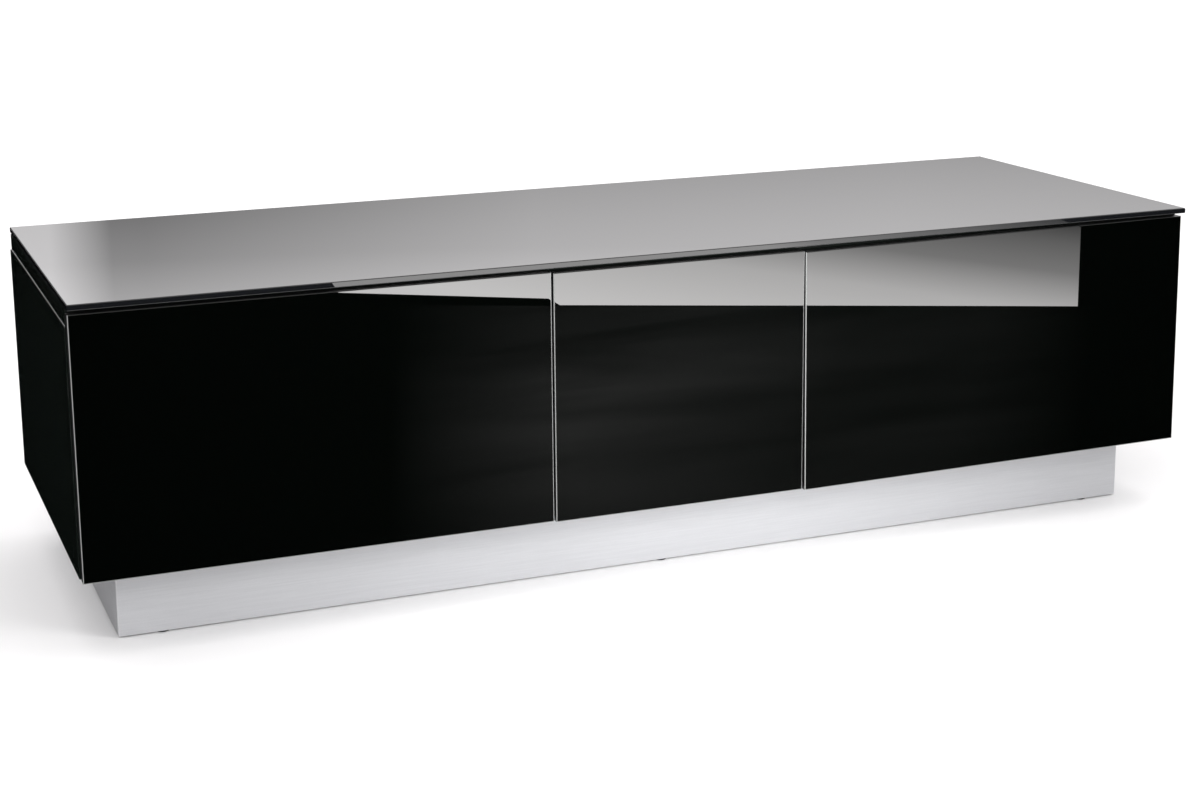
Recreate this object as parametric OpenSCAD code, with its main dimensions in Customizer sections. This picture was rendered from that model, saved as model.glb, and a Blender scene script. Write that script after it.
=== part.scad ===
// Low media cabinet: a bonded glass top, three handle-less glass fronts and a recessed plinth.
// The outer fronts are side-hung doors on two-pin concealed hinges, and the middle front is a
// drawer on telescopic runners. Each front is held by a push latch.
// The origin is on the floor under the middle of the cabinet: +X right, +Y to the back, +Z up.

/* [Overall] */
// Width over the side panels
cabinet_w = 1250; // [1150:10:1400]
// Depth of the glass top
top_d = 436; // [425:1:500]
// Height from the floor to the upper face of the glass top
cabinet_h = 353; // [345:1:400]

/* [Glass top] */
// Thickness of the glass top
top_glass_t = 6; // [6:0.5:10]
// Distance from each side panel's outer face in to the end of the glass top
top_glass_inset = 1; // [1:0.5:4]
// Thickness of the silicone discs that bond the glass to the sub-top
bond_t = 0.8; // [0.5:0.1:1.5]
// Width of the ground bevel on the edges of the glass top
top_arris = 0.8; // [0.4:0.1:2]

/* [Carcass] */
// Thickness of the side panels and the dividers
side_t = 18; // [18:1:20]
// Thickness of the bottom and the shelves
panel_t = 16; // [15:1:18]
// Thickness of the sub-top
sub_top_t = 18; // [16:1:20]
// Distance from each side panel's outer face in to the end of the sub-top
sub_top_inset = 1; // [1:0.5:8]
// Thickness of the back panel
back_t = 4; // [3:0.5:5]
// Height from the floor to the underside of the carcass
carcass_z = 80; // [70:1:90]
// Diameter of the cable outlets in the back panel
outlet_d = 60; // [50:1:80]

/* [Fronts] */
// Thickness of the glass on each front
front_glass_t = 4; // [4:0.5:5]
// Width of the ground bevel on the edges of each front's glass
arris = 0.8; // [0.4:0.1:1.2]
// Thickness of the frame behind the glass
front_frame_t = 8.7; // [8.5:0.1:10]
// Air gap between the closed fronts and the carcass
front_air = 1.4; // [1.3:0.1:2]
// Distance from the front edge of the glass top back to the face of the fronts
front_setback = 4.7; // [3:0.1:8]
// Height of each front
front_h = 263; // [250:1:266]
// Distance from the underside of the glass top down to the top edge of the fronts
front_top_gap = 4.6; // [4:0.1:6]
// Distance from each side panel's outer face in to the edge of its door
front_inset = 1.5; // [1:0.5:3]
// Width of the drawer front
drawer_front_w = 284; // [260:1:320]
// Gap between neighbouring fronts
front_gap = 2.5; // [2.5:0.1:4]
// How far the drawer front hangs below the left door
drawer_drop = 1.1; // [0:0.1:1.2]
// How far the right door's panel has turned in its own plane, in degrees
right_door_turn = 0.4; // [0:0.1:0.4]
// How far the middle of the right door hangs below the left door
right_door_drop = 0.9; // [0.5:0.1:1]
// Width of the frame's bars
frame_bar = 55; // [50:1:70]

/* [Plinth] */
// Distance from each side panel's outer face in to the end of the plinth
plinth_side_inset = 39; // [20:0.5:60]
// Distance from the front edge of the glass top back to the plinth
plinth_front_inset = 57.5; // [40:0.5:80]
// Distance from the back edge of the glass top in to the plinth
plinth_back_inset = 40; // [20:1:80]
// Height of the plastic glides under the plinth
glide_t = 1.5; // [1:0.5:3]

/* [Drawer] */
// Length of the drawer box
drawer_len = 355; // [340:5:370]
// Height of the drawer box
drawer_box_h = 180; // [140:5:190]
// Thickness of the drawer's boards
drawer_board_t = 12; // [10:1:13]
// Thickness of the drawer's bottom
drawer_bottom_t = 6; // [4:1:8]
// Length of the telescopic runners
runner_len = 350; // [300:5:360]

/* [Hidden] */
$fn = 40;
half_w = cabinet_w / 2;
inner_x = half_w - side_t;
glass_z = cabinet_h - top_glass_t;
sub_top_z1 = glass_z - bond_t;
sub_top_z0 = sub_top_z1 - sub_top_t;
base_z1 = carcass_z + panel_t;
front_edge_y = -top_d / 2;
front_face_y = front_edge_y + front_setback;
frame_face_y = front_face_y + front_glass_t;
frame_back_y = frame_face_y + front_frame_t;
carcass_y0 = frame_back_y + front_air;
back_y1 = top_d / 2 - 0.5;
back_panel_y1 = back_y1 - 3.5;
back_panel_y0 = back_panel_y1 - back_t;
sub_top_y1 = back_panel_y1 - 1;
rebate_x = inner_x + 8;
door_w = (cabinet_w - 2 * front_inset - drawer_front_w - 2 * front_gap) / 2;
door_x = drawer_front_w / 2 + front_gap + door_w / 2;
divider_x = (drawer_front_w + front_gap) / 2;
divider_in_x = divider_x - side_t / 2;
divider_out_x = divider_x + side_t / 2;
front_z1 = glass_z - front_top_gap;
front_z0 = front_z1 - front_h;
front_mid_z = (front_z0 + front_z1) / 2;
plinth_x1 = half_w - plinth_side_inset;
plinth_y0 = front_edge_y + plinth_front_inset;
plinth_y1 = top_d / 2 - plinth_back_inset;

// Hinge: the cup sits in the door, the arm on the side panel, and a link joins their two pins.
// These are measured in from the side panel's outer face and forward of the carcass front.
cup_x = 21.4;
cup_r = 17.6;
cup_wall = 0.6;
cup_depth = 9.8;
arm_pin = [24, 6];
cup_pin = [10.4, 3.6];
hinge_pin_r = 1.1;
pin_running = 0.05;
pin_press = 0.02;
link_z = 4.5;
tongue_z = 2.6;
barrel_z = tongue_z + 1;
hinge_spread = 70;
hinge_zs = [front_mid_z - hinge_spread, front_mid_z + hinge_spread];
plate_screw_y = 37;
plate_screw_z = 16;
cup_screw_z = 22;

// Push latches under the sub-top
latch_h = 14;
latch_z = sub_top_z0 - latch_h / 2;
latch_x = divider_out_x + 30;
plunger_r = 4.5;
latch_clear = 0.3;

// Shelf pins
shelf_pin_r = 2.45;
shelf_pin_z = 198;
shelf_pin_pitch = 32;
shelf_z0 = shelf_pin_z + shelf_pin_r;
shelf_y0 = carcass_y0 + 40;
shelf_y1 = back_panel_y0 - 30;
pin_row_ys = [carcass_y0 + 75, back_panel_y0 - 64];

// Drawer and its runners
drawer_y0 = frame_back_y;
drawer_y1 = drawer_y0 + drawer_len;
drawer_z0 = base_z1 + 15;
drawer_z1 = drawer_z0 + drawer_box_h;
runner_gap = 12.75;
drawer_x1 = divider_in_x - runner_gap;
runner_z = drawer_z0 + 70;
runner_wall = 1.2;
groove_deep = 4;
groove_z = drawer_z0 + 8;

// Flat-pack fittings: a cam in one panel draws in a bolt from the next one
cam_r = 7.5;
cam_depth = 12.5;
cam_reach = 24;
bolt_r = 3.2;
bolt_bite = 10;
dowel_r = 4;
dowel_step = 32;
fit_ys = [carcass_y0 + 50, back_panel_y0 - 50];

outlet_x = 380;
outlet_z = 262;
back_mid_z = (base_z1 + sub_top_z0) / 2;
pass_y = back_panel_y0 - 28.5;
pass_z = 250;
pass_r = 20;

// ---- Helpers ----

// A box between two opposite corners
module block(lo, hi) {
    translate(lo) cube(hi - lo);
}

// Mirrors a left-hand shape to the right when side is 1
module on_side(side) {
    if (side < 0) children();
    else mirror([1, 0, 0]) children();
}

module both_sides() {
    for (side = [-1, 1]) on_side(side) children();
}

module rod_x(r, x0, x1) {
    translate([x0, 0, 0]) rotate([0, 90, 0]) cylinder(r = r, h = x1 - x0);
}

module rod_y(r, y0, y1) {
    translate([0, y0, 0]) rotate([-90, 0, 0]) cylinder(r = r, h = y1 - y0);
}

// A rectangle with its four corners cut off at 45 degrees
module bevelled_rect(w, t, b) {
    x = w / 2;
    y = t / 2;
    polygon([
        [-x + b, -y], [x - b, -y], [x, -y + b], [x, y - b],
        [x - b, y], [-x + b, y], [-x, y - b], [-x, -y + b]
    ]);
}

// A flat pane, thickness along Z, with every long edge ground
module pane(w, d, t, bevel) {
    intersection() {
        rotate([90, 0, 90]) linear_extrude(w, center = true) bevelled_rect(d, t, bevel);
        rotate([90, 0, 0]) linear_extrude(d, center = true) bevelled_rect(w, t, bevel);
    }
}

module upright_pane(w, h, t) {
    rotate([90, 0, 0]) pane(w, h, t, arris);
}

// ---- Flat-pack fittings ----

// Stands on a face at p, with +Z out of the face and +X towards the joint
module fitting_frame(p, out, along) {
    across = cross(out, along);
    multmatrix([
        [along.x, across.x, out.x, p.x],
        [along.y, across.y, out.y, p.y],
        [along.z, across.z, out.z, p.z],
        [0, 0, 0, 1]
    ]) children();
}

// The six cams of one half of the cabinet: side to sub-top, divider to sub-top, bottom to side.
// Each is [point, outward, towards the joint, depth of the bolt below the face].
function fittings(side) = [
    for (y = fit_ys) each [
        [[side * inner_x, y, sub_top_z0 - cam_reach], [-side, 0, 0], [0, 0, 1], side_t / 2],
        [[side * divider_in_x, y, sub_top_z0 - cam_reach], [-side, 0, 0], [0, 0, 1], side_t / 2],
        [[side * (inner_x - cam_reach), y, carcass_z], [0, 0, -1], [side, 0, 0], panel_t / 2]
    ]
];

module at_fittings(side) {
    for (f = fittings(side)) fitting_frame(f[0], f[1], f[2]) {
        $bolt_depth = f[3];
        children();
    }
}

module bolt_rod(r, x0, x1) {
    translate([0, 0, -$bolt_depth]) rod_x(r, x0, x1);
}

module dowel_rods(r, extra) {
    for (y = [-dowel_step, dowel_step]) translate([0, y, 0])
        bolt_rod(r, cam_reach - 18 - extra, cam_reach + 12 + extra);
}

module fitting_cuts(side) {
    at_fittings(side) {
        translate([0, 0, -cam_depth - 0.3]) cylinder(r = cam_r + 0.1, h = cam_depth + 1.3);
        bolt_rod(bolt_r + 0.1, 0, cam_reach + bolt_bite + 0.5);
        dowel_rods(dowel_r + 0.05, 0.5);
    }
}

module cam() {
    difference() {
        translate([0, 0, -cam_depth]) cylinder(r = cam_r, h = cam_depth);
        bolt_rod(bolt_r + 0.1, 1, cam_reach);
        for (a = [0, 90]) rotate([0, 0, a]) block([-4.5, -0.8, -2.5], [4.5, 0.8, 1]);
    }
}

module cam_locks() {
    color("silver") for (side = [-1, 1]) at_fittings(side) cam();
}

module cam_bolts() {
    color("silver") for (side = [-1, 1]) at_fittings(side) bolt_rod(bolt_r, 2, cam_reach + bolt_bite);
}

module dowels() {
    color("burlywood") for (side = [-1, 1]) at_fittings(side) dowel_rods(dowel_r, 0);
}

// Screws up through the bottom panel into the dividers
module divider_screw(extra) {
    translate([0, 0, carcass_z - 0.01]) cylinder(r1 = 4.5 + extra, r2 = 2.2 + extra, h = 3);
    translate([0, 0, carcass_z]) cylinder(r = 2.2 + extra, h = 50 + extra);
}

module at_divider_screws() {
    for (side = [-1, 1], y = fit_ys) translate([side * divider_x, y, 0]) children();
}

module divider_screws() {
    color("dimgray") intersection() {
        at_divider_screws() divider_screw(0);
        block([-half_w, front_edge_y, carcass_z], [half_w, back_y1, sub_top_z0]);
    }
}

// ---- Carcass ----

// Blind holes that take the shelf pins, drilled from a face at x towards dir
module pin_holes(x, dir) {
    for (y = pin_row_ys, i = [-2 : 2]) translate([x, y, shelf_pin_z + i * shelf_pin_pitch])
        on_side(-dir) rod_x(2.5, -1, 10);
}

// Screw places on the back panel, as [x, z]
back_screw_places = [
    for (i = [-4 : 4]) [i * 139, (carcass_z + base_z1) / 2],
    for (side = [-1, 1], k = [-1 : 1]) [side * (inner_x + 4), back_mid_z + k * 72],
    for (side = [-1, 1], k = [-1, 1]) [side * divider_x, back_mid_z + k * 80]
];

module at_back_screws() {
    for (p = back_screw_places) translate([p.x, back_panel_y1, p.y]) children();
}

module back_screw_holes() {
    at_back_screws() rod_y(1.55, -16.5, 1);
}

module side_panel() {
    color([0.03, 0.04, 0.035]) difference() {
        block([-half_w, carcass_y0, carcass_z], [-inner_x, back_y1, sub_top_z0]);
        block([-rebate_x, back_panel_y0 - 0.2, carcass_z - 1], [-inner_x + 1, back_y1 + 1, sub_top_z0 + 1]);
        fitting_cuts(-1);
        pin_holes(-inner_x, -1);
        back_screw_holes();
        for (z = hinge_zs, k = [-1, 1])
            translate([-inner_x, carcass_y0 + plate_screw_y, z + k * plate_screw_z])
                rod_x(1.95, -12, 1);
    }
}

module divider() {
    color([0.05, 0.05, 0.05]) difference() {
        block([-divider_out_x, carcass_y0, base_z1], [-divider_in_x, back_panel_y0, sub_top_z0]);
        fitting_cuts(-1);
        pin_holes(-divider_out_x, 1);
        back_screw_holes();
        at_divider_screws() divider_screw(0.05);
        translate([-divider_x, pass_y, pass_z]) rod_x(pass_r, -side_t, side_t);
    }
}

module bottom_panel() {
    color([0.05, 0.05, 0.05]) difference() {
        block([-inner_x, carcass_y0, carcass_z], [inner_x, back_panel_y0, base_z1]);
        for (side = [-1, 1]) fitting_cuts(side);
        back_screw_holes();
        at_divider_screws() divider_screw(0.05);
        at_plinth_blocks() rod_hole_up(carcass_z - 1, carcass_z + 12.5);
    }
}

module sub_top() {
    color([0.04, 0.04, 0.04]) difference() {
        block(
            [-half_w + sub_top_inset, carcass_y0, sub_top_z0],
            [half_w - sub_top_inset, sub_top_y1, sub_top_z1]
        );
        for (side = [-1, 1]) fitting_cuts(side);
    }
}

module back_panel() {
    color([0.07, 0.07, 0.07]) difference() {
        block(
            [-rebate_x + 0.3, back_panel_y0, carcass_z + 0.3],
            [rebate_x - 0.3, back_panel_y1, sub_top_z0 - 0.3]
        );
        back_screw_holes();
        for (side = [-1, 1]) translate([side * outlet_x, 0, outlet_z])
            rod_y(outlet_d / 2 + 0.2, back_panel_y0 - 1, back_panel_y1 + 1);
    }
}

module back_panel_screws() {
    color("dimgray") at_back_screws() {
        rod_y(1.5, -16, 0);
        rod_y(3.5, 0, 1.5);
    }
}

module cable_grommets() {
    color([0.1, 0.1, 0.1]) for (side = [-1, 1]) translate([side * outlet_x, 0, outlet_z]) difference() {
        union() {
            rod_y(outlet_d / 2, back_panel_y0 - 2, back_panel_y1);
            rod_y(outlet_d / 2 + 3, back_panel_y1, back_panel_y1 + 2);
        }
        rod_y(outlet_d / 2 - 4, back_panel_y0 - 3, back_panel_y1 + 3);
    }
}

module glass_top() {
    color([0.02, 0.02, 0.025]) translate([0, 0, glass_z + top_glass_t / 2])
        pane(cabinet_w - 2 * top_glass_inset, top_d, top_glass_t, top_arris);
}

module top_bond_discs() {
    color([0.8, 0.8, 0.8]) for (i = [-2.5 : 1 : 2.5], y = [-140, 0, 140])
        translate([i * 225, y, sub_top_z1]) cylinder(r = 15, h = bond_t);
}

// ---- Shelves ----

module shelf() {
    color([0.05, 0.05, 0.05])
        block([-inner_x + 0.6, shelf_y0, shelf_z0], [-divider_out_x - 0.6, shelf_y1, shelf_z0 + panel_t]);
}

module shelf_pin() {
    rod_x(shelf_pin_r, -9.5, 9);
    rod_x(shelf_pin_r + 2, 0, 0.5);
}

// The collar stands clear of the shelf because its top is cut level with the pin
module shelf_pins() {
    color("silver") both_sides() intersection() {
        for (y = pin_row_ys) {
            translate([-inner_x, y, shelf_pin_z]) shelf_pin();
            translate([-divider_out_x, y, shelf_pin_z]) mirror([1, 0, 0]) shelf_pin();
        }
        block([-half_w, carcass_y0, carcass_z], [0, back_panel_y0, shelf_z0]);
    }
}

// ---- Plinth ----

block_w = 35;

module at_plinth_blocks() {
    for (sx = [-1, 1], sy = [0, 1]) {
        y = sy == 0 ? plinth_y0 + panel_t + block_w / 2 : plinth_y1 - panel_t - block_w / 2;
        translate([sx * (plinth_x1 - panel_t - block_w / 2), y, 0]) children();
    }
}

module rod_hole_up(z0, z1) {
    translate([0, 0, z0]) cylinder(r = 2.05, h = z1 - z0);
}

glide_xs = [-plinth_x1 + 45, 0, plinth_x1 - 45];

module at_glides() {
    for (x = glide_xs, y = [plinth_y0 + panel_t / 2, plinth_y1 - panel_t / 2])
        translate([x, y, 0]) children();
}

module plinth_board(lo, hi) {
    color([0.75, 0.75, 0.77]) difference() {
        block([lo.x, lo.y, glide_t], [hi.x, hi.y, carcass_z]);
        at_glides() translate([0, 0, glide_t - 1]) cylinder(r = 1.25, h = 16);
    }
}

module plinth_front() {
    plinth_board([-plinth_x1, plinth_y0], [plinth_x1, plinth_y0 + panel_t]);
}

module plinth_back() {
    plinth_board([-plinth_x1, plinth_y1 - panel_t], [plinth_x1, plinth_y1]);
}

module plinth_end() {
    plinth_board([-plinth_x1, plinth_y0 + panel_t], [-plinth_x1 + panel_t, plinth_y1 - panel_t]);
}

module plinth_brace() {
    plinth_board([-panel_t / 2, plinth_y0 + panel_t], [panel_t / 2, plinth_y1 - panel_t]);
}

module plinth_corner_blocks() {
    color("burlywood") at_plinth_blocks() difference() {
        block([-block_w / 2, -block_w / 2, carcass_z - 35], [block_w / 2, block_w / 2, carcass_z]);
        rod_hole_up(carcass_z - 36, carcass_z + 1);
    }
}

module plinth_screws() {
    color("dimgray") at_plinth_blocks() {
        translate([0, 0, carcass_z - 35]) cylinder(r = 2, h = 47);
        translate([0, 0, carcass_z - 37.5]) cylinder(r = 4, h = 2.5);
    }
}

module floor_glides() {
    color([0.2, 0.2, 0.2]) at_glides() {
        cylinder(r = 7.5, h = glide_t);
        translate([0, 0, glide_t]) cylinder(r = 1.2, h = 14);
    }
}

// ---- Fronts ----

// Puts a front of the right door in the place that its hinges have let it turn to
module right_door_pose() {
    translate([door_x, 0, front_mid_z - right_door_drop]) rotate([0, -right_door_turn, 0]) children();
}

module front_glass(w) {
    translate([0, front_face_y + front_glass_t / 2, 0]) upright_pane(w, front_h, front_glass_t);
}

// The frame or backing board behind a pane, before it is drilled
module front_board(w) {
    block([-w / 2, frame_face_y, -front_h / 2], [w / 2, frame_back_y, front_h / 2]);
}

module door_frame_blank() {
    difference() {
        front_board(door_w);
        block(
            [-door_w / 2 + frame_bar, frame_face_y - 1, -front_h / 2 + frame_bar],
            [door_w / 2 - frame_bar, frame_back_y + 1, front_h / 2 - frame_bar]
        );
    }
}

// The cup and flange recesses of both left-hand hinges
module cup_recesses() {
    at_hinges() {
        translate([cup_x, 0, 0]) rod_y(cup_r + 0.1, -front_air - front_frame_t - 1, 0);
        block([cup_x - 11.2, -front_air - 1.7, -26.2], [cup_x + 11.2, 0, 26.2]);
        for (k = [-1, 1]) translate([cup_x, 0, k * cup_screw_z]) rod_y(1.65, -front_air - 7.5, 0);
    }
}

module left_door_glass() {
    color([0.02, 0.02, 0.025]) translate([-door_x, 0, front_mid_z]) front_glass(door_w);
}

module left_door_frame() {
    color([0.05, 0.05, 0.05]) difference() {
        translate([-door_x, 0, front_mid_z]) door_frame_blank();
        cup_recesses();
    }
}

module right_door_glass() {
    color([0.02, 0.02, 0.025]) right_door_pose() front_glass(door_w);
}

module right_door_frame() {
    color([0.05, 0.05, 0.05]) difference() {
        right_door_pose() door_frame_blank();
        mirror([1, 0, 0]) cup_recesses();
    }
}

module drawer_front_pose() {
    translate([0, 0, front_mid_z - drawer_drop]) children();
}

module drawer_front_glass() {
    color([0.02, 0.02, 0.025]) drawer_front_pose() front_glass(drawer_front_w);
}

module drawer_front_panel() {
    color([0.05, 0.05, 0.05]) drawer_front_pose() front_board(drawer_front_w);
}

module front_bumpers() {
    color([0.8, 0.8, 0.8]) for (side = [-1, 1], dx = [-5, 5], z = [front_z0 + 32, front_z1 - 45])
        translate([side * divider_x + dx, carcass_y0, z]) rod_y(3, -front_air + 0.3, 0);
}

// ---- Hinges, drawn for the left door and mirrored for the right one ----

module at_hinges() {
    for (z = hinge_zs) translate([-half_w, carcass_y0, z]) children();
}

// A flat bar with an eye at each pin, from z0 to z1
module link_bar(z0, z1) {
    reach = cup_pin - arm_pin;
    for (p = [arm_pin, cup_pin]) translate([p.x, -p.y, z0]) cylinder(r = 2, h = z1 - z0);
    translate([arm_pin.x, -arm_pin.y, z0]) rotate([0, 0, atan2(-reach.y, reach.x)])
        block([0, -1.6, 0], [norm(reach), 1.6, z1 - z0]);
}

module hinge_pin_bore(p, clearance) {
    translate([p.x, -p.y, -20]) cylinder(r = hinge_pin_r + clearance, h = 40);
}

module hinge_link() {
    difference() {
        union() {
            link_bar(tongue_z + 0.3, link_z);
            link_bar(-link_z, -tongue_z - 0.3);
            translate([cup_pin.x, -cup_pin.y, -barrel_z]) cylinder(r = 1.8, h = 2 * barrel_z);
        }
        hinge_pin_bore(arm_pin, pin_running);
        hinge_pin_bore(cup_pin, pin_running);
    }
}

module left_hinge_links() {
    color("silver") at_hinges() hinge_link();
}

module right_hinge_links() {
    mirror([1, 0, 0]) left_hinge_links();
}

module hinge_arm() {
    difference() {
        union() {
            block([side_t + 4, 12, -7.5], [side_t + 12, 64, 7.5]);
            block([arm_pin.x - 2.2, -arm_pin.y, -tongue_z], [arm_pin.x + 2.2, 13, tongue_z]);
            translate([arm_pin.x, -arm_pin.y, -tongue_z]) cylinder(r = 2.2, h = 2 * tongue_z);
            for (y = [30, 52]) translate([0, y, 0]) rod_x(3.2, side_t + 11, side_t + 13);
        }
        block([side_t + 3, 16, -6], [side_t + 10.6, 70, 6]);
        for (y = [30, 52]) translate([0, y, 0])
            block([side_t + 12.2, -2.4, -0.5], [side_t + 14, 2.4, 0.5]);
        hinge_pin_bore(arm_pin, pin_press);
    }
}

module hinge_arms() {
    color("silver") both_sides() at_hinges() hinge_arm();
}

// The mounting plate: two wings that are screwed to the side, and the rail that the arm sits on
module hinge_plate() {
    difference() {
        union() {
            block([side_t, 30, -24], [side_t + 2.5, 44, 24]);
            block([side_t, 22, -5.8], [side_t + 10.4, 62, 5.8]);
        }
        for (k = [-1, 1]) translate([0, plate_screw_y, k * plate_screw_z])
            rod_x(2.05, side_t - 1, side_t + 4);
    }
}

module hinge_plates() {
    color("gainsboro") both_sides() at_hinges() hinge_plate();
}

module hinge_plate_screws() {
    color("silver") both_sides() at_hinges() for (k = [-1, 1])
        translate([0, plate_screw_y, k * plate_screw_z]) {
            rod_x(1.9, side_t - 11, side_t + 2.5);
            rod_x(3.6, side_t + 2.5, side_t + 4);
        }
}

module hinge_arm_pins() {
    color("gray") both_sides() at_hinges()
        translate([arm_pin.x, -arm_pin.y, -link_z]) cylinder(r = hinge_pin_r, h = 2 * link_z);
}

// Steel cup with a flange, and two ears inside it that hold the cup pin
module hinge_cup() {
    flange_y = -front_air - 0.6;
    difference() {
        union() {
            difference() {
                union() {
                    translate([cup_x, 0, 0]) rod_y(cup_r, -cup_depth, flange_y);
                    block([cup_x - 11, flange_y - 1, -26], [cup_x + 11, flange_y, 26]);
                }
                translate([cup_x, 0, 0]) rod_y(cup_r - cup_wall, -cup_depth + cup_wall, 0);
            }
            intersection() {
                translate([cup_x, 0, 0]) rod_y(cup_r - 0.1, -cup_depth + 0.1, flange_y);
                for (k = [-1, 1]) translate([cup_pin.x, 0, k * 8.2])
                    block([-2.2, -cup_depth, -3.2], [2.2, flange_y, 3.2]);
            }
        }
        hinge_pin_bore(cup_pin, pin_press);
        for (k = [-1, 1]) translate([cup_x, 0, k * cup_screw_z]) rod_y(1.65, -20, 0);
    }
}

module left_hinge_cups() {
    color("gainsboro") at_hinges() hinge_cup();
}

module right_hinge_cups() {
    mirror([1, 0, 0]) left_hinge_cups();
}

module left_cup_pins() {
    color("gray") at_hinges()
        translate([cup_pin.x, -cup_pin.y, -10.5]) cylinder(r = hinge_pin_r, h = 21);
}

module right_cup_pins() {
    mirror([1, 0, 0]) left_cup_pins();
}

module left_cup_screws() {
    color("silver") at_hinges() for (k = [-1, 1]) translate([cup_x, 0, k * cup_screw_z]) {
        rod_y(1.6, -front_air - 7, -front_air - 0.6);
        rod_y(3, -front_air - 0.6, -front_air);
    }
}

module right_cup_screws() {
    mirror([1, 0, 0]) left_cup_screws();
}

// ---- Push latches ----

latch_xs = [-latch_x, 0, latch_x];

module latch_housing() {
    difference() {
        union() {
            block([-9, 4, -latch_h / 2], [9, 72, latch_h / 2]);
            block([-17, 24, latch_h / 2 - 2], [17, 50, latch_h / 2]);
        }
        rod_y(plunger_r + 0.06, 3, 60);
        for (k = [-1, 1]) translate([k * 13, 37, 0]) cylinder(r = 1.8, h = latch_h);
    }
}

module latch_housings() {
    color([0.15, 0.15, 0.16]) for (x = latch_xs) translate([x, carcass_y0, latch_z]) latch_housing();
}

module latch_plunger(x) {
    color([0.6, 0.6, 0.62]) translate([x, carcass_y0, latch_z]) {
        rod_y(plunger_r, 2, 52);
        rod_y(6, -0.1, 2.9);
    }
}

module left_latch_plunger() {
    latch_plunger(-latch_x);
}

module drawer_latch_plunger() {
    latch_plunger(0);
}

module right_latch_plunger() {
    latch_plunger(latch_x);
}

// The steel disc that the plunger's magnet holds
module strike_plate(x) {
    color("silver") translate([x, carcass_y0, latch_z]) difference() {
        rod_y(8, -front_air, -0.1 - latch_clear);
        rod_y(1.6, -front_air - 1, 0);
    }
}

module left_strike_plate() {
    strike_plate(-latch_x);
}

module drawer_strike_plate() {
    strike_plate(0);
}

module right_strike_plate() {
    strike_plate(latch_x);
}

// ---- Drawer ----

module bottom_groove() {
    block(
        [-drawer_x1 + drawer_board_t - groove_deep, drawer_y0 + drawer_board_t - groove_deep, groove_z],
        [drawer_x1 - drawer_board_t + groove_deep, drawer_y1 - drawer_board_t + groove_deep, groove_z + drawer_bottom_t]
    );
}

module drawer_bottom() {
    color([0.12, 0.12, 0.12]) bottom_groove();
}

module drawer_side() {
    color([0.1, 0.1, 0.1]) difference() {
        block([-drawer_x1, drawer_y0, drawer_z0], [-drawer_x1 + drawer_board_t, drawer_y1, drawer_z1]);
        bottom_groove();
    }
}

// A board across the drawer box, from y0 back by one board thickness
module drawer_cross_board(y0) {
    color([0.1, 0.1, 0.1]) difference() {
        block(
            [-drawer_x1 + drawer_board_t, y0, drawer_z0],
            [drawer_x1 - drawer_board_t, y0 + drawer_board_t, drawer_z1]
        );
        bottom_groove();
    }
}

module drawer_inner_front() {
    drawer_cross_board(drawer_y0);
}

module drawer_back() {
    drawer_cross_board(drawer_y1 - drawer_board_t);
}

// A C-shaped rail: its web is at x0, and its two flanges reach to x1
module rail(x0, x1, half_h) {
    web = x1 > x0 ? runner_wall : -runner_wall;
    translate([-divider_in_x, carcass_y0 + 2, runner_z]) {
        block([min(x0, x0 + web), 0, -half_h], [max(x0, x0 + web), runner_len, half_h]);
        for (z = [-half_h, half_h - runner_wall])
            block([min(x0, x1), 0, z], [max(x0, x1), runner_len, z + runner_wall]);
    }
}

module runner_cabinet_rails() {
    color("silver") both_sides() rail(0, 9.5, 22.5);
}

module runner_middle_rails() {
    color("gainsboro") both_sides() rail(1.6, 11, 21);
}

module runner_drawer_rails() {
    color("silver") both_sides() rail(runner_gap, 3.4, 19.5);
}

// ---- Nodes ----

glass_top();
top_bond_discs();
sub_top();
side_panel();  // side_panel_left
on_side(1) side_panel();  // side_panel_right
divider();  // divider_left
on_side(1) divider();  // divider_right
bottom_panel();
back_panel();
back_panel_screws();
cable_grommets();
plinth_front();
plinth_back();
plinth_end();  // plinth_end_left
on_side(1) plinth_end();  // plinth_end_right
plinth_brace();
plinth_corner_blocks();
plinth_screws();
floor_glides();
cam_locks();
cam_bolts();
dowels();
divider_screws();
shelf();  // shelf_left
on_side(1) shelf();  // shelf_right
shelf_pins();
front_bumpers();
left_door_glass();
left_door_frame();
right_door_glass();
right_door_frame();
hinge_plates();
hinge_arms();
hinge_plate_screws();
hinge_arm_pins();
left_hinge_links();
right_hinge_links();
left_hinge_cups();
right_hinge_cups();
left_cup_pins();
right_cup_pins();
left_cup_screws();
right_cup_screws();
latch_housings();
left_latch_plunger();
right_latch_plunger();
drawer_latch_plunger();
left_strike_plate();
right_strike_plate();
drawer_strike_plate();
drawer_front_glass();
drawer_front_panel();
drawer_inner_front();
drawer_side();  // drawer_side_left
on_side(1) drawer_side();  // drawer_side_right
drawer_back();
drawer_bottom();
runner_cabinet_rails();
runner_middle_rails();
runner_drawer_rails();
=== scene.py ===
"""Looks of the low media cabinet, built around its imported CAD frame.

Black-backed glass, gloss-lacquered sides and a satin silver plinth, with the fittings that show
when the doors and the drawer are open. The frame, the stage and the lights are in metres, and the
fittings are drawn in millimetres. Their places are read from the CAD nodes.
"""

import math

import bmesh
import bpy
from mathutils import Matrix, Vector


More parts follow.
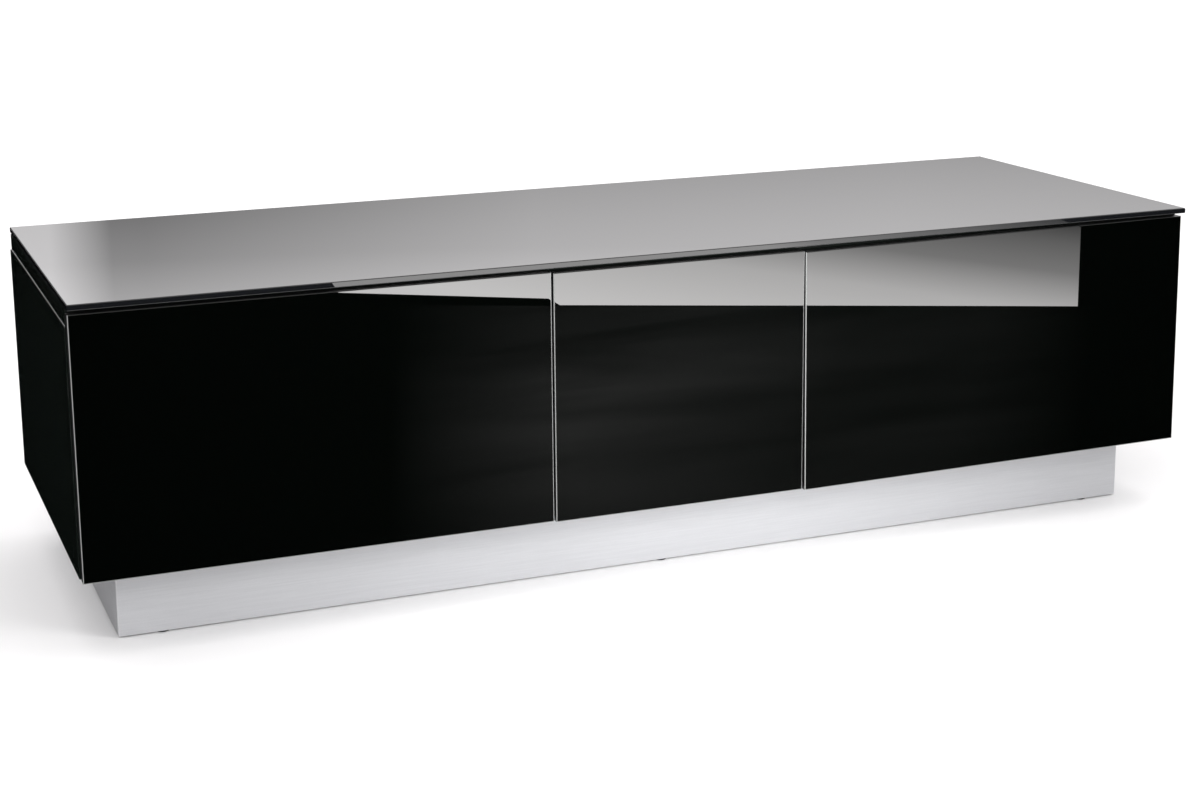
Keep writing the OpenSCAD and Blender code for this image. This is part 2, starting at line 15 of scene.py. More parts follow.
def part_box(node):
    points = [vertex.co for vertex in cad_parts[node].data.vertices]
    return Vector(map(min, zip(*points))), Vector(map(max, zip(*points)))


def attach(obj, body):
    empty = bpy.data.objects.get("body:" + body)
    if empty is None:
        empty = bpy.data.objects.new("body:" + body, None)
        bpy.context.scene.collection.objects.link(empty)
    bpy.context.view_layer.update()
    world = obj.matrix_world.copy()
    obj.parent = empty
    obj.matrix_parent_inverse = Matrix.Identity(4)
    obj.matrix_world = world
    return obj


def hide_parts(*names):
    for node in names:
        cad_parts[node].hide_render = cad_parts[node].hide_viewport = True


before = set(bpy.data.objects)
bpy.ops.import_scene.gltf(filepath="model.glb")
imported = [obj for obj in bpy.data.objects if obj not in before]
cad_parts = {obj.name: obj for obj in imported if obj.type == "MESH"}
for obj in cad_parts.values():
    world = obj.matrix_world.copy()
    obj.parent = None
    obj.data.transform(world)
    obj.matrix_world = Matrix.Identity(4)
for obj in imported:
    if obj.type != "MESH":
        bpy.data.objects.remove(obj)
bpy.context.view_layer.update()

MM = 0.001

# ---- Node helpers ----


class Nodes:
    """Adds nodes to a tree by short calls that return the output socket for the next one."""

    def __init__(self, tree):
        self.tree = tree

    def add(self, kind, inputs, **settings):
        node = self.tree.nodes.new(kind)
        for name, value in settings.items():
            setattr(node, name, value)
        for name, value in inputs.items():
            self.feed(node.inputs[name], value)
        return node

    def feed(self, socket, value):
        if isinstance(value, bpy.types.NodeSocket):
            self.tree.links.new(value, socket)
        else:
            socket.default_value = value

    def place(self, stretch=(1, 1, 1)):
        """Where the point is on the piece, in metres, each axis multiplied by stretch."""
        here = self.add("ShaderNodeTexCoord", {}).outputs["Object"]
        if tuple(stretch) == (1, 1, 1):
            return here
        return self.add("ShaderNodeVectorMath", {0: here, 1: stretch}, operation="MULTIPLY").outputs[0]

    def axes(self, vector):
        return self.add("ShaderNodeSeparateXYZ", {0: vector}).outputs

    def math(self, operation, a, b=0.0):
        return self.add("ShaderNodeMath", {0: a, 1: b}, operation=operation).outputs[0]

    def fade(self, value, start, end, low=0.0, high=1.0):
        """low where value is at start, high where it is at end, and straight between."""
        inputs = {"Value": value, "From Min": start, "From Max": end, "To Min": low, "To Max": high}
        return self.add("ShaderNodeMapRange", inputs).outputs[0]

    def noise(self, scale, detail=2.0, roughness=0.5, stretch=(1, 1, 1), distortion=0.0):
        inputs = {
            "Vector": self.place(stretch),
            "Scale": scale,
            "Detail": detail,
            "Roughness": roughness,
            "Distortion": distortion,
        }
        return self.add("ShaderNodeTexNoise", inputs).outputs["Fac"]

    def cells(self, scale, stretch=(1, 1, 1), feature="F1"):
        inputs = {"Vector": self.place(stretch), "Scale": scale}
        return self.add("ShaderNodeTexVoronoi", inputs, feature=feature).outputs["Distance"]

    def mix(self, factor, a, b):
        """Colour a where factor is 0, and b where it is 1."""
        node = self.add("ShaderNodeMix", {}, data_type="RGBA")
        self.feed(node.inputs["Factor"], factor)
        for socket, value in zip([s for s in node.inputs if s.type == "RGBA"], (a, b)):
            self.feed(socket, value if isinstance(value, bpy.types.NodeSocket) else (*value, 1))
        return next(s for s in node.outputs if s.type == "RGBA")

    def bump(self, height, distance, normal=None):
        node = self.add("ShaderNodeBump", {"Height": height, "Distance": distance})
        if normal is not None:
            self.feed(node.inputs["Normal"], normal)
        return node.outputs["Normal"]

    def facing(self):
        """The x, y and z of the surface's normal, in the piece's own axes."""
        return self.axes(self.add("ShaderNodeTexCoord", {}).outputs["Normal"])

    def off_axis(self):
        """0 on a face square to an axis, and 1 on a bevel between two such faces."""
        x, y, z = (self.math("ABSOLUTE", v) for v in self.facing())
        return self.fade(self.math("MAXIMUM", self.math("MAXIMUM", x, y), z), 0.97, 0.85)


def surface(name, colour, roughness, normal=None, **sockets):
    """A Principled material. sockets are further inputs, with _ for each space in their names."""
    material = bpy.data.materials.new(name)
    material.use_nodes = True
    nodes = Nodes(material.node_tree)
    shader = material.node_tree.nodes["Principled BSDF"]
    values = {"Base Color": colour, "Roughness": roughness, "Normal": normal}
    values.update({key.replace("_", " "): value for key, value in sockets.items()})
    for key, value in values.items():
        value = value(nodes) if callable(value) else value
        if value is None:
            continue
        if key.endswith("Color") and not isinstance(value, bpy.types.NodeSocket):
            value = (*value, 1)
        nodes.feed(shader.inputs[key], value)
    return material


# ---- Materials, one for each slot of the record ----


def glass(name, face, arris, smudge):
    """Black-backed float glass: a mirror-flat face with faint wipe marks, and ground arrises."""

    def colour(n):
        # Painted shade: the arrises that face up are darker than the others
        _, _, up = n.facing()
        ground = n.mix(n.fade(up, 0.2, 0.6), arris, [0.1 * c for c in arris])
        return n.mix(n.off_axis(), face, ground)

    def roughness(n):
        wiped = n.fade(n.noise(5, 5, 0.6, (1, 2.2, 1.4), 1.5), 0.5, 0.8, 0.004, smudge)
        return n.math("MAXIMUM", wiped, n.math("MULTIPLY", n.off_axis(), 0.45))

    def normal(n):
        # Toughened glass is never quite flat: long low waves from the rollers
        waves = n.bump(n.noise(2.2, 1, 0.4, (1, 0.6, 1)), 0.12 * MM)
        grit = n.math("MULTIPLY", n.noise(2500, 2, 0.7), n.off_axis())
        return n.bump(grit, 0.1 * MM, waves)

    return surface(name, colour, roughness, normal, IOR=1.52)


def black_gloss(name):
    """Lacquer over board: deep black with the fine ripple of sprayed lacquer."""

    def normal(n):
        ripple = n.bump(n.noise(260, 2, 0.5), 0.008 * MM)
        return n.bump(n.noise(6, 1, 0.5), 0.25 * MM, ripple)

    def colour(n):
        worn = n.math("MULTIPLY", n.off_axis(), n.fade(n.noise(60, 4, 0.6), 0.5, 0.75))
        return n.mix(worn, (0.007, 0.0095, 0.008), (0.06, 0.062, 0.06))

    def roughness(n):
        return n.fade(n.noise(9, 5, 0.6, (1, 1, 2)), 0.35, 0.8, 0.05, 0.13)

    return surface(name, colour, roughness, normal, IOR=1.5)


def melamine(name, tone, pebble=0.02 * MM, gloss=0.42):
    """Melamine-faced board with a fine pearl grain, a little lighter where its edges are rubbed."""

    def colour(n):
        cloud = n.fade(n.noise(14, 4, 0.6), 0.3, 0.7)
        face = n.mix(cloud, [0.86 * c for c in tone], [1.12 * c for c in tone])
        rubbed = n.math("MULTIPLY", n.off_axis(), n.fade(n.noise(80, 4, 0.65), 0.45, 0.7))
        return n.mix(rubbed, face, [c + 0.05 for c in tone])

    def roughness(n):
        return n.fade(n.noise(400, 3, 0.6), 0.3, 0.7, gloss - 0.06, gloss + 0.08)

    def normal(n):
        return n.bump(n.cells(900), pebble)

    return surface(name, colour, roughness, normal)


def foil_wrapped(name, tone):
    """Dark grey foil with a linen print, as on drawer boxes."""

    def colour(n):
        threads = n.math("ADD", n.noise(420, 2, 0.6, (0.06, 0.06, 1)), n.noise(420, 2, 0.6, (1, 1, 0.06)))
        return n.mix(n.fade(threads, 0.75, 1.25), [0.8 * c for c in tone], [1.25 * c for c in tone])

    def roughness(n):
        return n.fade(n.noise(30, 4, 0.6), 0.3, 0.7, 0.4, 0.52)

    def normal(n):
        threads = n.math("ADD", n.noise(700, 2, 0.6, (0.06, 0.06, 1)), n.noise(700, 2, 0.6, (1, 1, 0.06)))
        return n.bump(threads, 0.03 * MM)

    return surface(name, colour, roughness, normal)


def hardboard(name):
    """Thin fibre board with a rolled coat of black paint over its felted fibres."""

    def colour(n):
        fibres = n.fade(n.noise(380, 6, 0.7, (1, 1, 0.5), 1.2), 0.35, 0.7)
        face = n.mix(fibres, (0.022, 0.022, 0.022), (0.05, 0.048, 0.046))
        return n.mix(n.off_axis(), face, (0.1, 0.065, 0.04))

    def roughness(n):
        return n.fade(n.noise(60, 4, 0.6), 0.3, 0.7, 0.62, 0.82)

    def normal(n):
        return n.bump(n.noise(420, 5, 0.7, (1, 1, 0.5), 1.0), 0.12 * MM)

    return surface(name, colour, roughness, normal)


def silver_foil(name):
    """Satin aluminium-effect foil: a fine metal fleck, faint brushed lines along each board, and a
    painted highlight on its rounded edges.
    """

    def brushed(n, scale):
        sideways, _, _ = n.facing()
        end_on = n.math("GREATER_THAN", n.math("ABSOLUTE", sideways), 0.7)
        along_x = n.noise(scale, 3, 0.6, (0.03, 1, 1))
        along_y = n.noise(scale, 3, 0.6, (1, 0.03, 1))
        change = n.math("MULTIPLY", end_on, n.math("SUBTRACT", along_y, along_x))
        return n.math("ADD", along_x, change)

    def colour(n):
        fleck = n.math("MULTIPLY", n.fade(n.noise(1800, 2, 0.7), 0.3, 0.7), 0.6)
        lines = n.math("MULTIPLY", n.fade(brushed(n, 600), 0.25, 0.75), 0.4)
        cloud = n.fade(n.noise(5, 3, 0.5, (1, 1, 3)), 0.3, 0.7)
        base = n.mix(n.math("ADD", fleck, lines), (0.53, 0.535, 0.555), (0.7, 0.705, 0.725))
        toned = n.mix(n.math("MULTIPLY", cloud, 0.35), base, (0.56, 0.565, 0.58))
        # Painted highlight: the rounded edges are near-white, a bright line along each corner of the
        # board
        return n.mix(n.math("MULTIPLY", n.off_axis(), 0.9), toned, (0.92, 0.92, 0.93))

    def roughness(n):
        return n.fade(brushed(n, 700), 0.3, 0.7, 0.32, 0.44)

    def normal(n):
        return n.bump(brushed(n, 900), 0.015 * MM)

    return surface(name, colour, roughness, normal, Metallic=0.25)


def raw_wood(name):
    """Bare beech and pine: long grain with darker late wood and open pores."""

    def colour(n):
        rings = n.noise(22, 3, 0.55, (1, 1, 0.12), 1.2)
        pores = n.fade(n.noise(700, 2, 0.6, (1, 1, 0.04)), 0.55, 0.7)
        grain = n.mix(n.fade(rings, 0.35, 0.65), (0.66, 0.47, 0.27), (0.48, 0.3, 0.15))
        return n.mix(n.math("MULTIPLY", pores, 0.5), grain, (0.3, 0.18, 0.09))

    def roughness(n):
        return n.fade(n.noise(90, 3, 0.6), 0.3, 0.7, 0.55, 0.75)

    def normal(n):
        return n.bump(n.noise(500, 3, 0.6, (1, 1, 0.05)), 0.08 * MM)

    return surface(name, colour, roughness, normal)


def plated_steel(name, tone, rough, lines=(1, 0.3, 1), relief=0.003 * MM, blotch=0.1):
    """Plated steel: fine lines along the strip, light blotches, brighter rubbed edges."""

    def colour(n):
        cloud = n.fade(n.noise(45, 4, 0.6), 0.35, 0.7)
        face = n.mix(cloud, tone, [(1 - blotch) * c for c in tone])
        return n.mix(n.math("MULTIPLY", n.off_axis(), 0.5), face, [min(1, 1.25 * c) for c in tone])

    def roughness(n):
        return n.fade(n.noise(1200, 3, 0.65, lines), 0.3, 0.7, rough - 0.05, rough + 0.06)

    def normal(n):
        return n.bump(n.noise(1800, 3, 0.6, lines), relief)

    return surface(name, colour, roughness, normal, Metallic=1.0)


def moulded(name, tone, rough, relief=0.03 * MM, **sockets):
    """Moulded plastic or rubber with a fine spark-eroded texture."""

    def colour(n):
        cloud = n.fade(n.noise(40, 3, 0.5), 0.3, 0.7)
        return n.mix(cloud, [0.9 * c for c in tone], [min(1, 1.1 * c) for c in tone])

    def roughness(n):
        return n.fade(n.noise(700, 3, 0.6), 0.3, 0.7, rough - 0.05, rough + 0.08)

    def normal(n):
        return n.bump(n.noise(2200, 3, 0.6), relief)

    return surface(name, colour, roughness, normal, **sockets)


def all_materials():
    return {
        "top_glass": glass("top_glass", (0.006, 0.0065, 0.0075), (0.05, 0.051, 0.052), 0.03),
        "front_glass": glass("front_glass", (0.0006, 0.0009, 0.0007), (0.32, 0.325, 0.32), 0.015),
        "black_gloss": black_gloss("black_gloss"),
        "black_board": melamine("black_board", (0.018, 0.018, 0.0185)),
        "front_frame_board": melamine("front_frame_board", (0.014, 0.014, 0.0145), 0.015 * MM, 0.36),
        "drawer_board": foil_wrapped("drawer_board", (0.055, 0.055, 0.058)),
        "hardboard": hardboard("hardboard"),
        "silver_foil": silver_foil("silver_foil"),
        "raw_wood": raw_wood("raw_wood"),
        "zinc_steel": plated_steel("zinc_steel", (0.62, 0.63, 0.64), 0.3),
        "nickel_steel": plated_steel("nickel_steel", (0.66, 0.63, 0.58), 0.22, (1, 1, 0.4), blotch=0.06),
        "runner_steel": plated_steel("runner_steel", (0.55, 0.57, 0.6), 0.33, (1, 0.01, 1), 0.004 * MM),
        "black_screws": moulded("black_screws", (0.03, 0.03, 0.032), 0.35, 0.004 * MM, Metallic=0.6),
        "black_plastic": moulded("black_plastic", (0.02, 0.02, 0.021), 0.42),
        "plunger_plastic": moulded("plunger_plastic", (0.3, 0.3, 0.31), 0.38, 0.01 * MM),
        "strike_steel": plated_steel("strike_steel", (0.6, 0.6, 0.59), 0.25, (1, 1, 1)),
        "clear_silicone": moulded(
            "clear_silicone", (0.72, 0.75, 0.75), 0.2, 0.002 * MM, Transmission_Weight=0.75, IOR=1.41
        ),
    }


materials = all_materials()


def slot_name(node):
    """The record's slot of a CAD node, from the name that its imported material has."""
    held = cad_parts[node].data.materials
    return held[0].name.split(".")[0] if held and held[0] else None


# ---- CAD nodes ----

# Millimetres of rounding on the edges of each flat-sided node
BOARDS = {
    "sub_top": 0.4, "side_panel_left": 0.7, "side_panel_right": 0.7, "divider_left": 0.5,
    "divider_right": 0.5, "bottom_panel": 0.5, "back_panel": 0.3, "plinth_front": 1.3,
    "plinth_back": 0.8, "plinth_end_left": 0.8, "plinth_end_right": 0.8, "plinth_brace": 0.8,
    "shelf_left": 0.6, "shelf_right": 0.6, "left_door_frame": 0.6, "right_door_frame": 0.6,
    "drawer_front_panel": 0.6, "drawer_inner_front": 0.6, "drawer_side_left": 0.6,
    "drawer_side_right": 0.6, "drawer_back": 0.6, "drawer_bottom": 0.3, "hinge_plates": 0.4,
    "hinge_arms": 0.2, "latch_housings": 0.7, "runner_cabinet_rails": 0.3,
    "runner_middle_rails": 0.3, "runner_drawer_rails": 0.3,
}


def round_edges(piece, width, steepest=40):
    """Rounds the sharp edges of a flat-sided node, with no change to its mesh."""
    weld = piece.modifiers.new("weld", "WELD")
    weld.merge_threshold = 0.005 * MM
    flat = piece.modifiers.new("flat", "DECIMATE")
    flat.decimate_type = "DISSOLVE"
    flat.angle_limit = math.radians(0.5)
    rounding = piece.modifiers.new("rounding", "BEVEL")
    rounding.width = width
    rounding.segments = 2
    rounding.use_clamp_overlap = False
    rounding.limit_method = "ANGLE"
    rounding.angle_limit = math.radians(steepest)
    rounding.harden_normals = True
    even = piece.modifiers.new("even", "WEIGHTED_NORMAL")
    even.keep_sharp = True


def finish_cad_nodes():
    for name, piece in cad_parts.items():
        slot = slot_name(name)
        if slot in materials:
            for held in piece.material_slots:
                held.material = materials[slot]
        else:
            print("no material for", name, slot)
        if name in BOARDS:
            round_edges(piece, BOARDS[name] * MM)


finish_cad_nodes()

# ---- Mesh helpers ----


def aim(place, out):
    """A frame that stands at place, given in millimetres, with its +Z along out."""
    turn = Vector(out).to_track_quat("Z", "Y").to_matrix().to_4x4()
    return Matrix.Translation(Vector(place) * MM) @ turn @ Matrix.Scale(MM, 4)


def ring_of(bm, frame_at, radius, height, count):
    if radius == 0:
        return [bm.verts.new(frame_at @ Vector((0, 0, height)))]
    angles = [math.tau * i / count for i in range(count)]
    return [
        bm.verts.new(frame_at @ Vector((radius * math.cos(a), radius * math.sin(a), height)))
        for a in angles
    ]


def lathe(bm, frame_at, profile, count=32, closed=False):
    """Turns (radius, height) points in millimetres about +Z, and returns the rings of points."""
    rings = [ring_of(bm, frame_at, radius, height, count) for radius, height in profile]
    pairs = list(zip(rings, rings[1:] + rings[:1] if closed else rings[1:]))
    for low, high in pairs:
        for i in range(count):
            j = (i + 1) % count
            corners = (low[i % len(low)], low[j % len(low)], high[j % len(high)], high[i % len(high)])
            corners = list(dict.fromkeys(corners))
            if len(corners) > 2:
                bm.faces.new(corners)
    return rings


def cross_recess(bm, frame_at, rim, radius, top, depth):
    """Fills a rim of 24 points with a flat that has a cross-shaped driver recess in it."""
    arm, half = 0.74 * radius, 0.15 * radius
    outline = []
    for quarter in range(4):
        turn = Matrix.Rotation(quarter * math.pi / 2, 4, "Z")
        outline += [turn @ Vector(c) for c in ((arm, half, 0), (half, half, 0), (half, arm, 0))]
    mouth = [bm.verts.new(frame_at @ (v + Vector((0, 0, top)))) for v in outline]
    floor = [bm.verts.new(frame_at @ (0.62 * v + Vector((0, 0, top - depth)))) for v in outline]
    for quarter in range(4):
        k, c = 3 * quarter, 6 * quarter
        bm.faces.new([rim[c - 1], rim[c], rim[c + 1], mouth[k], mouth[k - 1]])
        bm.faces.new([rim[c + 1], rim[c + 2], rim[c + 3], mouth[k + 1], mouth[k]])
        bm.faces.new([rim[c + 3], rim[c + 4], rim[c + 5], mouth[k + 2], mouth[k + 1]])
        bm.faces.new([floor[k - 1], floor[k], floor[k + 1], floor[k - 2]])
    for i in range(12):
        bm.faces.new([mouth[i - 1], mouth[i], floor[i], floor[i - 1]])
    bm.faces.new([floor[1], floor[4], floor[7], floor[10]])


def pan_screw(bm, place, out, radius, height, shank, length):
    """A cross-recessed pan-head screw. Its head stands on place and its shank goes in from there."""
    at = aim(place, out)
    profile = [
        (0, -length), (0.35 * shank, 0.9 * shank - length), (shank, 2.2 * shank - length), (shank, 0),
        (radius - 0.15, 0), (radius, 0.12 * height), (0.98 * radius, 0.5 * height),
        (0.86 * radius, 0.84 * height), (0.66 * radius, height),
    ]
    rings = lathe(bm, at, profile, 24)
    cross_recess(bm, at, rings[-1], 0.66 * radius, height, 0.7 * height)


def flush_screw(bm, place, out, radius, shank, length):
    """A cross-recessed countersunk screw whose flat head is level with place."""
    at = aim(place, out)
    sink = 0.8 * (radius - shank)
    profile = [
        (0, -length), (shank, 2 * shank - length), (shank, -sink - 0.2),
        (radius - 0.1, -0.25), (radius, -0.1), (radius - 0.1, 0), (0.62 * radius, 0),
    ]
    rings = lathe(bm, at, profile, 24)
    cross_recess(bm, at, rings[-1], 0.62 * radius, 0, min(1.6, 0.7 * sink + 0.5))


def piece_of(bm, name, slot, body, replaced=(), sharp=38):
    """Makes a piece from a bmesh, in a slot's material, riding on a body."""
    bmesh.ops.recalc_face_normals(bm, faces=bm.faces)
    mesh = bpy.data.meshes.new(name)
    bm.to_mesh(mesh)
    bm.free()
    mesh.materials.append(materials[slot])
    mesh.shade_smooth()
    mesh.set_sharp_from_angle(angle=math.radians(sharp))
    piece = bpy.data.objects.new(name, mesh)
    bpy.context.scene.collection.objects.link(piece)
    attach(piece, body)
    if replaced:
        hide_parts(*replaced)


# ---- Places that the fittings share, in millimetres, read from the CAD nodes ----


def corners_of(node):
    """The lowest and the highest corner of a CAD node."""
    return [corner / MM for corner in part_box(node)]


def middle_of(node):
    low, high = corners_of(node)
    return (low + high) / 2


SIDES = (-1, 1)
DOORS = ((-1, "left"), (1, "right"))
HALF_WIDTH = corners_of("side_panel_right")[1].x
CARCASS_FRONT = corners_of("side_panel_right")[0].y
BACK_FACE = corners_of("back_panel")[1].y
DIVIDER_X = middle_of("divider_right").x
FRONT_LOW, FRONT_HIGH = corners_of("left_door_frame")
FRONT_SIZE = FRONT_HIGH - FRONT_LOW
HINGE_SPREAD = 70  # from the middle of a door up or down to each hinge
HINGE_HEIGHTS = [middle_of("left_door_frame").z + k * HINGE_SPREAD for k in (-1, 1)]
FIXING_LINE = CARCASS_FRONT + 37  # how far in the plates and the latches are screwed on
LATCH_X, _, LATCH_Z = middle_of("right_latch_plunger")

# ---- Screw sizes, in millimetres ----

# Head radius, head height, shank radius and length of each pan-head screw
BACK_SCREW = (3.5, 1.5, 1.5, 16)
BLOCK_SCREW = (4, 2.5, 2, 47)
PLATE_SCREW = (3.6, 1.5, 1.9, 13)
FLANGE_SCREW = (3, 0.5, 1.6, 5.5)
LATCH_SCREW = (3.2, 1.5, 1.6, 14)
FRONT_SCREW = (3.8, 1.6, 1.9, 17)
RAIL_SCREW = (3.4, 1.7, 1.6, 11)

# Head radius, shank radius and length of each countersunk screw
FLOOR_SCREW = (4.4, 2.2, 49)
CATCH_SCREW = (3.6, 1.5, 8)

# ---- Fittings on the carcass ----


def add_back_screws():
    """A row along the bottom panel, and a few up each side and each divider."""
    bottom_z, middle_z = middle_of("bottom_panel").z, middle_of("divider_right").z
    side_x = HALF_WIDTH - 14
    bottom_step, side_step, divider_step = 139, 72, 80
    bm = bmesh.new()
    places = [(bottom_step * i, bottom_z) for i in range(-4, 5)]
    places += [(side * side_x, middle_z + side_step * k) for side in SIDES for k in (-1, 0, 1)]
    places += [(side * DIVIDER_X, middle_z + divider_step * k) for side in SIDES for k in (-1, 1)]
    for x, z in places:
        pan_screw(bm, (x, BACK_FACE, z), (0, 1, 0), *BACK_SCREW)
    piece_of(bm, "back_screws", "black_screws", "cabinet", ["back_panel_screws"])


def add_grommets():
    """Snap-in cable rings: a rounded flange outside, a barbed lip inside."""
    flange = 33
    profile = [
        (26, -5.7), (26, 1.2), (26.3, 1.8), (27, 2), (31.8, 2), (32.6, 1.7), (flange, 1),
        (flange, 0), (30, 0), (29.9, -4), (30.8, -4.4), (30.6, -4.9), (29.4, -6), (26.4, -6),
    ]
    ring_x = corners_of("cable_grommets")[1].x - flange
    ring_z = middle_of("cable_grommets").z
    bm = bmesh.new()
    for side in SIDES:
        lathe(bm, aim((ring_x * side, BACK_FACE, ring_z), (0, 1, 0)), profile, 64, closed=True)
    piece_of(bm, "grommet_rings", "black_plastic", "cabinet", ["cable_grommets"])


def add_block_screws():
    """A screw up through the middle of each corner block of the plinth."""
    half_block = 17.5
    low, high = corners_of("plinth_corner_blocks")
    bm = bmesh.new()
    for x in (low.x + half_block, high.x - half_block):
        for y in (low.y + half_block, high.y - half_block):
            pan_screw(bm, (x, y, low.z), (0, 0, -1), *BLOCK_SCREW)
    piece_of(bm, "block_screws", "black_screws", "cabinet", ["plinth_screws"])


def add_glides():
    """Nail-on glides under the plinth's front and back."""
    radius = 7.5
    glide = [
        (0, 0.7), (2.4, 0.6), (2.9, 0.15), (3.3, 0), (5.9, 0), (6.8, 0.15), (7.35, 0.5), (radius, 1),
        (radius, 1.5), (1.2, 1.5), (1.2, 14), (0, 15.5),
    ]
    end_x = corners_of("floor_glides")[1].x - radius
    bm = bmesh.new()
    for x in (-end_x, 0, end_x):
        for board in ("plinth_front", "plinth_back"):
            lathe(bm, aim((x, middle_of(board).y, 0), (0, 0, 1)), glide, 40)
    piece_of(bm, "glide_feet", "black_plastic", "cabinet", ["floor_glides"])


def add_divider_screws():
    """Two screws up through the bottom panel into each divider."""
    low, high = corners_of("divider_right")
    from_end = 50
    head_z = corners_of("bottom_panel")[0].z + 0.1
    bm = bmesh.new()
    for side in SIDES:
        for y in (low.y + from_end, high.y - from_end):
            flush_screw(bm, (side * DIVIDER_X, y, head_z), (0, 0, -1), *FLOOR_SCREW)
    piece_of(bm, "floor_screws", "black_screws", "cabinet", ["divider_screws"])


def add_bumpers():
    """Clear domes on the front edges of the dividers."""
    dome = [(0, -0.02), (3, 0), (3, 0.2), (2.85, 0.45), (2.4, 0.75), (1.7, 0.97), (0.9, 1.08), (0, 1.1)]
    heights = (FRONT_LOW.z + 32, FRONT_HIGH.z - 45)
    bm = bmesh.new()
    for side in SIDES:
        for dx in (-5, 5):
            for z in heights:
                lathe(bm, aim((side * DIVIDER_X + dx, CARCASS_FRONT, z), (0, -1, 0)), dome, 32)
    piece_of(bm, "bumper_domes", "clear_silicone", "cabinet", ["front_bumpers"], sharp=60)


def add_hinge_screws():
    """Two screws in each mounting plate, and two in the flange of each cup."""
    plate_x, flange_x = HALF_WIDTH - 20.5, HALF_WIDTH - 21.4
    flange_y = FRONT_HIGH.y - 0.55
    bm = bmesh.new()
    for side in SIDES:
        for z in HINGE_HEIGHTS:
            for k in (-16, 16):
                pan_screw(bm, (side * plate_x, FIXING_LINE, z + k), (-side, 0, 0), *PLATE_SCREW)
    piece_of(bm, "plate_screws", "zinc_steel", "cabinet", ["hinge_plate_screws"])
    for side, name in DOORS:
        bm = bmesh.new()
        for z in HINGE_HEIGHTS:
            for k in (-22, 22):
                pan_screw(bm, (side * flange_x, flange_y, z + k), (0, 1, 0), *FLANGE_SCREW)
        piece_of(bm, name + "_flange_screws", "zinc_steel", name + "_door", [name + "_cup_screws"])


# ---- Push latches ----


def add_latch_screws():
    flange_z = LATCH_Z + 5
    bm = bmesh.new()
    for x in (-LATCH_X, 0, LATCH_X):
        for k in (-13, 13):
            pan_screw(bm, (x + k, FIXING_LINE, flange_z), (0, 0, -1), *LATCH_SCREW)
    piece_of(bm, "latch_screws", "black_screws", "cabinet")


def add_latch(name, x, front_body):
    """A plunger with a magnet let into its tip, and the dished steel plate that it holds."""
    plunger = [
        (0, 0), (4, 0), (4.5, 0.5), (4.5, 48.6), (4.9, 49.1), (5.7, 49.3), (6, 49.7), (6, 51.4),
        (5.8, 51.9), (5.4, 52.1), (4.2, 52.1), (4.1, 51.7), (0, 51.7),
    ]
    magnet = [(0, 51.5), (3.9, 51.5), (3.9, 51.85), (3.7, 52), (1.6, 52), (1.3, 51.8), (0, 51.8)]
    plate = [(2, 0.1), (7.7, 0.1), (8, 0.3), (8, 0.75), (7.7, 1), (4, 1), (2, 0.2)]
    length = 52
    at = aim((x, CARCASS_FRONT + length, LATCH_Z), (0, -1, 0))
    bm = bmesh.new()
    lathe(bm, at, plunger, 40)
    piece_of(bm, name + "_plunger_rod", "plunger_plastic", name + "_plunger", [name + "_latch_plunger"])
    bm = bmesh.new()
    lathe(bm, at, magnet, 40)
    piece_of(bm, name + "_magnet", "zinc_steel", name + "_plunger")
    bm = bmesh.new()
    lathe(bm, aim((x, FRONT_HIGH.y, LATCH_Z), (0, 1, 0)), plate, 48, closed=True)
    piece_of(bm, name + "_catch_plate", "strike_steel", front_body, [name + "_strike_plate"])
    bm = bmesh.new()
    flush_screw(bm, (x, FRONT_HIGH.y + 0.9, LATCH_Z), (0, 1, 0), *CATCH_SCREW)
    piece_of(bm, name + "_catch_screw", "zinc_steel", front_body)


def add_latches():
    add_latch_screws()
    add_latch("left", -LATCH_X, "left_door")
    add_latch("drawer", 0, "drawer")
    add_latch("right", LATCH_X, "right_door")


# ---- Fronts and drawer ----

FRAME_BAR = 55  # how wide the bars of a door's frame are around its opening
RIGHT_DOOR_TILT = 0.4  # degrees by which the right door hangs out of square


def window_bead(bm, at, width, height, size):
    """A hand-run bead of black sealant in the corner between a pane and its frame's opening."""
    steps = 14
    section = [(0, 0), (size, 0), (0.52 * size, 0.17 * size), (0.17 * size, 0.52 * size), (0, size)]
    corners = [(-1, -1), (1, -1), (1, 1), (-1, 1)]
    loops = []
    for c, (sx, sz) in enumerate(corners):
        next_x, next_z = corners[(c + 1) % 4]
        for i in range(steps):
            share = i / steps
            x = (sx + (next_x - sx) * share) * width / 2
            z = (sz + (next_z - sz) * share) * height / 2
            in_x = -sx if i == 0 else (0 if sx != next_x else -sx)
            in_z = -sz if i == 0 else (0 if sz != next_z else -sz)
            swell = 1 + 0.14 * math.sin(5.1 * i + 1.7 * c)
            loops.append([
                bm.verts.new(at @ Vector((x + in_x * a * swell, z + in_z * a * swell, b * swell)))
                for a, b in section
            ])
    for here, there in zip(loops, loops[1:] + loops[:1]):
        for i in range(len(section)):
            j = (i + 1) % len(section)
            bm.faces.new([here[i], here[j], there[j], there[i]])


def add_window_beads():
    width, height = FRONT_SIZE.x - 2 * FRAME_BAR, FRONT_SIZE.z - 2 * FRAME_BAR
    upright = Matrix(((1, 0, 0, 0), (0, 0, 1, 0), (0, 1, 0, 0), (0, 0, 0, 1)))
    for name, tilt in (("left", 0), ("right", RIGHT_DOOR_TILT)):
        centre = middle_of(name + "_door_glass")
        centre.y = corners_of(name + "_door_glass")[1].y
        turn = Matrix.Rotation(math.radians(-tilt), 4, "Y")
        at = Matrix.Translation(centre * MM) @ turn @ upright @ Matrix.Scale(MM, 4)
        bm = bmesh.new()
        window_bead(bm, at, width, height, 2.6)
        piece_of(bm, name + "_window_bead", "black_plastic", name + "_door")


